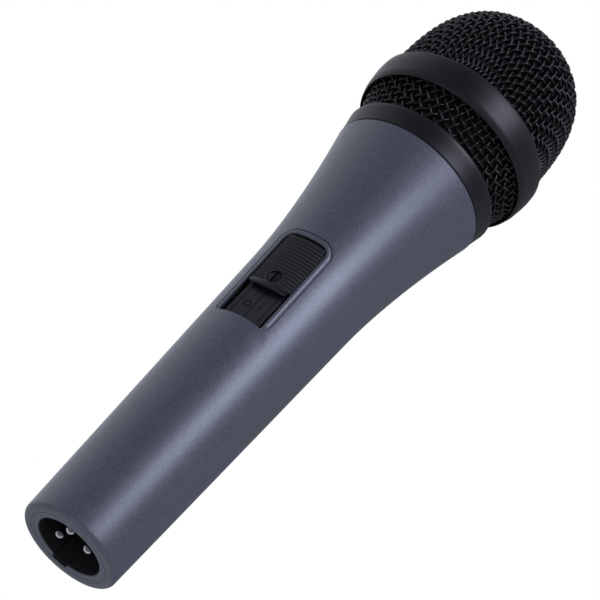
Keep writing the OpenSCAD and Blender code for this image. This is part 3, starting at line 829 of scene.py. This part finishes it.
def dome_profile(inset, steps=200):
    """Arc length from the top, radius and height of the dome and its skirt, as arrays."""
    a = np.linspace(math.pi / 2, 0, steps)
    r = (DOME_R - inset) * np.cos(a).clip(0) ** DOME_SIDE_POWER
    z = DOME_Z + (DOME_H - inset) * np.sin(a) ** DOME_TOP_POWER
    return with_lengths(np.append(r, r[-1]), np.append(z, DOME_FOOT))


def band_profile(inset, steps=60):
    """The same for the lower band, pressed as a basket: a flat floor, cut out since, then the wall."""
    z = np.linspace(BAND_LOW, BAND_HIGH, steps)
    flare = ((z - BAND_FLARE_Z) / BAND_FLARE_H).clip(0, 1) ** BAND_FLARE_POWER
    r = BAND_R - inset + BAND_FLARE * flare
    return with_lengths(np.append(BAND_FLOOR_R, r), np.append(z[0], z))


def with_lengths(r, z):
    return np.append(0.0, np.cumsum(np.hypot(np.diff(r), np.diff(z)))), r, z


def flattened(profile, give):
    """A flatter surface with the same arc lengths: cloth laid on it is squeezed a little by the profile."""
    lengths, radii, _ = profile
    wider = (1 - give) * radii + give * lengths
    run = np.diff(lengths)
    rise = np.sqrt(np.clip(run ** 2 - np.diff(wider) ** 2, 0, None))
    return lengths, wider, np.append(0.0, np.cumsum(rise))


def meet(place, knot_a, knot_b, s, theta, step):
    """The points of a surface one step from two knots, by Newton's method, with what they miss by."""
    nudge = 1e-4
    for _ in range(12):
        here = place(s, theta)
        by_s = (place(s + nudge, theta) - here) / nudge
        by_theta = (place(s, theta + nudge) - here) / nudge
        miss_a = ((here - knot_a) ** 2).sum(-1) - step ** 2
        miss_b = ((here - knot_b) ** 2).sum(-1) - step ** 2
        a_s, a_t = 2 * ((here - knot_a) * by_s).sum(-1), 2 * ((here - knot_a) * by_theta).sum(-1)
        b_s, b_t = 2 * ((here - knot_b) * by_s).sum(-1), 2 * ((here - knot_b) * by_theta).sum(-1)
        det = a_s * b_t - a_t * b_s
        det = np.where(np.abs(det) < 1e-9, np.nan, det)
        s = s - np.clip((miss_a * b_t - miss_b * a_t) / det, -step, step)
        theta = theta - np.clip((a_s * miss_b - b_s * miss_a) / det, -0.2, 0.2)
    return s, theta, np.abs(miss_a) + np.abs(miss_b)


def drape(profile, step):
    """A net of equal steps laid from the pole: arc length and azimuth of a quarter of its knots.

    Each knot is one step from its two neighbours nearer the pole. Knots off the profile are nan.
    """
    reach = profile[0][-1]
    count = int(reach / step) + 3

    def place(s, theta):
        r, z = np.interp(s, profile[0], profile[1]), np.interp(s, profile[0], profile[2])
        return np.stack([r * np.cos(theta), r * np.sin(theta), z], -1)

    s = np.full((count, count), np.nan)
    theta = np.full((count, count), np.nan)
    s[:, 0] = s[0, :] = np.arange(count) * step
    theta[:, 0], theta[0, :] = 0.0, math.pi / 2
    theta[0, 0] = math.pi / 4
    for diagonal in range(2, 2 * count - 1):
        i = np.arange(max(1, diagonal - count + 1), min(count - 1, diagonal - 1) + 1)
        j = diagonal - i
        s_a, theta_a, s_b, theta_b = s[i - 1, j], theta[i - 1, j], s[i, j - 1], theta[i, j - 1]
        s_c, theta_c = s[i - 1, j - 1], theta[i - 1, j - 1]
        x = s_a * np.cos(theta_a) + s_b * np.cos(theta_b) - s_c * np.cos(theta_c)
        y = s_a * np.sin(theta_a) + s_b * np.sin(theta_b) - s_c * np.sin(theta_c)
        s_new, theta_new, miss = meet(place, place(s_a, theta_a), place(s_b, theta_b),
                                      np.hypot(x, y), np.arctan2(y, x), step)
        lost = ~(miss < 1e-3) | (s_new > reach + 2.5 * step)
        s[i, j] = np.where(lost, np.nan, s_new)
        theta[i, j] = np.where(lost, np.nan, theta_new)
    return s, theta


def on_profile(profile, s, theta):
    """Points and outward normals on a surface of revolution."""
    lengths, radii, heights = profile
    step = 0.25
    r, z = np.interp(s, lengths, radii), np.interp(s, lengths, heights)
    dr = np.interp(s + step, lengths, radii) - np.interp(s - step, lengths, radii)
    dz = np.interp(s + step, lengths, heights) - np.interp(s - step, lengths, heights)
    size = np.hypot(dr, dz) + 1e-9
    turn = -1 if heights[-1] < heights[0] else 1
    nr, nz = turn * dz / size, -turn * dr / size
    points = np.stack([r * np.sin(theta), -r * np.cos(theta), z], axis=1)
    normals = np.stack([nr * np.sin(theta), -nr * np.cos(theta), nz], axis=1)
    return points, normals


def add_wire(verts, faces, points, normals, radius, sides=7):
    """One round wire along a line of points, closed at both ends."""
    tangents = np.gradient(points, axis=0)
    tangents /= np.linalg.norm(tangents, axis=1, keepdims=True)
    side = np.cross(tangents, normals)
    side /= np.linalg.norm(side, axis=1, keepdims=True)
    up = np.cross(side, tangents)
    start = len(verts)
    for k in range(len(points)):
        for j in range(sides):
            a = 2 * math.pi * j / sides
            verts.append(tuple(points[k] + radius * (math.cos(a) * up[k] + math.sin(a) * side[k])))
    faces += ring_faces(len(points), sides, start, closed=False)
    end = start + (len(points) - 1) * sides
    faces.append(tuple(range(start, start + sides)))
    faces.append(tuple(range(end, end + sides)))


def wire_runs(s, low, high):
    """The stretches of a wire, as fractional knot numbers, where its arc length is between two values."""
    fine = np.arange(0, len(s) - 1 + 1e-6, 0.5)
    inside = np.interp(fine, np.arange(len(s)), np.nan_to_num(s, nan=1e9))
    keep = (inside >= low) & (inside <= high)
    edges = np.flatnonzero(np.diff(np.concatenate([[0], keep, [0]])))
    return [fine[a:b] for a, b in zip(edges[::2], edges[1::2], strict=True) if b - a >= 6]


def weave(names, nodes, profile, pitch, turn, give, low):
    """A plain weave of round wire over a net draped on the profile, above arc length low."""
    per_cell = 6
    quarter_s, quarter_theta = drape(flattened(profile, give), pitch / per_cell)
    count = len(quarter_s)
    span = np.arange(-count + 1, count)
    for family, name in enumerate(names):
        verts, faces = [], []
        for cell in range(-(count // per_cell), count // per_cell + 1):
            across = cell * per_cell
            i, j = np.full_like(span, abs(across)), abs(span)
            if abs(across) >= count:
                continue
            s = quarter_s[i, j] if family == 0 else quarter_s[j, i]
            theta = quarter_theta[i, j] if family == 0 else quarter_theta[j, i]
            sign_across = -1 if across < 0 else 1
            sign_along = np.where(span < 0, -1, 1)
            sign_x, sign_y = (sign_across, sign_along) if family == 0 else (sign_along, sign_across)
            x, y = s * np.cos(theta) * sign_x, s * np.sin(theta) * sign_y
            for run in wire_runs(s, low, profile[0][-1]):
                xs, ys = np.interp(run, np.arange(len(x)), x), np.interp(run, np.arange(len(y)), y)
                along = np.interp(run, np.arange(len(span)), span) / per_cell
                azimuth = np.arctan2(ys, xs) + math.radians(turn)
                points, normals = on_profile(profile, np.hypot(xs, ys), azimuth)
                wave = np.cos(math.pi * (cell + along)) * (1 if family == 0 else -1)
                lift = wave * WIRE_R * CRIMP
                add_wire(verts, faces, points + normals * lift[:, None], normals, WIRE_R)
        make_piece(name, verts, faces, "head", "mesh_wire", nodes, 80.0)


def make_dome_wires():
    profile = dome_profile(WEAVE_INSET)
    weave(("dome_wires_a", "dome_wires_b"), ["dome_mesh"], profile,
          DOME_PITCH, DOME_NET_TURN, DOME_GIVE, 0.0)


def make_band_wires():
    """The wires of the band's wall only: its floor, up to arc length profile[0][1], just sets out the net."""
    profile = band_profile(WEAVE_INSET)
    weave(("band_wires_a", "band_wires_b"), ["lower_mesh"], profile,
          BAND_PITCH, BAND_NET_TURN, 1.0, profile[0][1])


def shell_outline(inset, steps):
    """The dome's (radius, height) points from the top to the foot of its curve, set in from its outside."""
    _, r, z = dome_profile(inset, steps)
    return [(float(a), float(b)) for a, b in zip(r, z, strict=True)][:-1]


def make_liner():
    """The foam liner, a little uneven where the wire presses on it."""
    outside = shell_outline(4 * WIRE_R + 0.15, 60)
    inside = shell_outline(4 * WIRE_R + 3.0, 40)
    outline = [(17.95, 131.7), (19.2, 131.7), (19.4, 133.5), (19.7, 135.6), (20.3, 137.6), (20.8, 139.0)]
    outline.append((21.15, 143.0))
    outline += outside[:0:-1] + [(0.3, outside[0][1]), (0.3, inside[0][1])] + inside[1:] + [(17.95, 143.5)]
    verts, faces = lathe(outline, 144)
    lumpy = []
    for x, y, z in verts:
        wave = math.sin(1.9 * x + 0.7 * z) * math.sin(1.7 * y - 0.9 * z) * 0.07
        scale = 1 + wave / max(2.0, math.hypot(x, y))
        lumpy.append((x * scale, y * scale, z + 0.5 * wave))
    liner = make_piece("foam", lumpy, faces, "head", "liner_foam", ["foam_liner"], 60.0)


make_collar()
make_centre_ring()
make_dome_wires()
make_band_wires()
make_liner()


# ---------------------------------------------------------------- floor, light; sizes in metres
FLOOR_HALF = 12.0
FLOOR_Z = -0.75
LIGHT_AIM_Z = 90.0 * MM

# The surround is a ramp of brightness by turn round the axis, where 0 and 1 are towards the camera,
# 0.25 is at its right and 0.75 at its left. A dim stretch faces the camera and ends at FRONT_EDGE.
CAMERA_LEFT = (-0.839, -0.545, 0.0)
CAMERA_AWAY = (-0.545, 0.839, 0.0)
WALL_LEVELS = ((0.25, 0.36), (0.4, 0.2), (0.46, 0.25), (0.55, 1.0), (0.62, 0.84), (0.72, 0.8), (0.78, 0.47))
FRONT_EDGE = 0.112
FRONT_LEVEL = 0.02
TOP_LEVEL = 0.45
WALL_TINT = (0.94, 0.98, 1.08, 1.0)


def make_floor():
    corners = ((-1, -1), (1, -1), (1, 1), (-1, 1))
    mesh = bpy.data.meshes.new("floor")
    mesh.from_pydata([(x * FLOOR_HALF, y * FLOOR_HALF, FLOOR_Z) for x, y in corners], [], [(0, 1, 2, 3)])
    floor = bpy.data.objects.new("floor", mesh)
    bpy.context.scene.collection.objects.link(floor)
    s = Surface("pale_floor", Specular_IOR_Level=0.2, Emission_Strength=0.07)
    paper = s.noise(40.0, 3.0)
    floor.data.materials.append(s.finish(s.mix(paper, rgb(0.80, 0.80, 0.80), rgb(0.84, 0.84, 0.84)), 0.9))


def add_softbox(name, azimuth, elevation, distance, size, power, tint=(1, 1, 1)):
    """An area light aimed at the axis, placed by its direction from there."""
    a, e = math.radians(azimuth), math.radians(elevation)
    out = Vector((math.sin(a) * math.cos(e), -math.cos(a) * math.cos(e), math.sin(e)))
    light = bpy.data.lights.new(name, "AREA")
    light.shape = "RECTANGLE"
    light.size, light.size_y = size
    light.energy = power
    light.color = tint
    obj = bpy.data.objects.new(name, light)
    obj.matrix_world = (Matrix.Translation(Vector((0, 0, LIGHT_AIM_Z)) + out * distance)
                        @ out.to_track_quat("Z", "Y").to_matrix().to_4x4())
    bpy.context.scene.collection.objects.link(obj)


def make_world():
    """The studio's surround: plain white to the camera, and a ramp of brightness to everything else.

    It is brightest at the backdrop and at the camera's left, and dim below and on the camera's side.
    """
    world = bpy.data.worlds.new("studio")
    world.use_nodes = True
    tree = world.node_tree

    def node(kind, inputs=(), **settings):
        made = tree.nodes.new(kind)
        for key, value in settings.items():
            setattr(made, key, value)
        for socket, value in inputs:
            if isinstance(value, bpy.types.NodeSocket):
                tree.links.new(value, made.inputs[socket])
            else:
                made.inputs[socket].default_value = value
        return made

    direction = node("ShaderNodeTexCoord").outputs["Generated"]
    left = node("ShaderNodeVectorMath", [(0, direction), (1, CAMERA_LEFT)], operation="DOT_PRODUCT")
    away = node("ShaderNodeVectorMath", [(0, direction), (1, CAMERA_AWAY)], operation="DOT_PRODUCT")
    angle = node("ShaderNodeMath", [(0, left.outputs["Value"]), (1, away.outputs["Value"])],
                 operation="ARCTAN2")
    around = node("ShaderNodeMapRange", [
        ("Value", angle.outputs[0]), ("From Min", -math.pi), ("From Max", math.pi)])
    walls = node("ShaderNodeValToRGB", [("Fac", around.outputs["Result"])])
    ramp = walls.color_ramp.elements
    ramp[0].position, ramp[0].color = FRONT_EDGE, (FRONT_LEVEL,) * 3 + (1.0,)
    ramp[1].position, ramp[1].color = 1.0 - FRONT_EDGE, (FRONT_LEVEL,) * 3 + (1.0,)
    for position, level in WALL_LEVELS:
        ramp.new(position).color = (level, level, level, 1.0)
    height = node("ShaderNodeSeparateXYZ", [(0, direction)]).outputs[2]
    above = node("ShaderNodeMapRange", [
        ("Value", height), ("From Min", -0.45), ("From Max", 0.15), ("To Min", 0.25), ("To Max", 1.0)])
    lower = node("ShaderNodeMath", [(0, walls.outputs["Color"]), (1, above.outputs["Result"])],
                 operation="MULTIPLY")
    level = node("ShaderNodeMapRange", [
        ("Value", height), ("From Min", 0.6), ("From Max", 0.95),
        ("To Min", lower.outputs[0]), ("To Max", TOP_LEVEL)])
    seen = node("ShaderNodeLightPath").outputs["Is Camera Ray"]
    brightness = node("ShaderNodeMapRange", [
        ("Value", seen), ("To Min", level.outputs["Result"]), ("To Max", 1.0)])
    colour = node("ShaderNodeMix", [(0, seen), (6, WALL_TINT), (7, (1.0, 1.0, 1.0, 1.0))], data_type="RGBA")
    background = tree.nodes["Background"]
    tree.links.new(brightness.outputs["Result"], background.inputs["Strength"])
    tree.links.new(colour.outputs[2], background.inputs["Color"])
    bpy.context.scene.world = world


make_floor()
make_world()
add_softbox("key", azimuth=55, elevation=30, distance=0.9, size=(0.38, 0.42), power=4.9,
            tint=(0.82, 0.83, 1.0))
add_softbox("low_front", azimuth=5, elevation=-62, distance=1.0, size=(0.22, 0.22), power=0.9)
bpy.context.scene.view_settings.view_transform = "Standard"
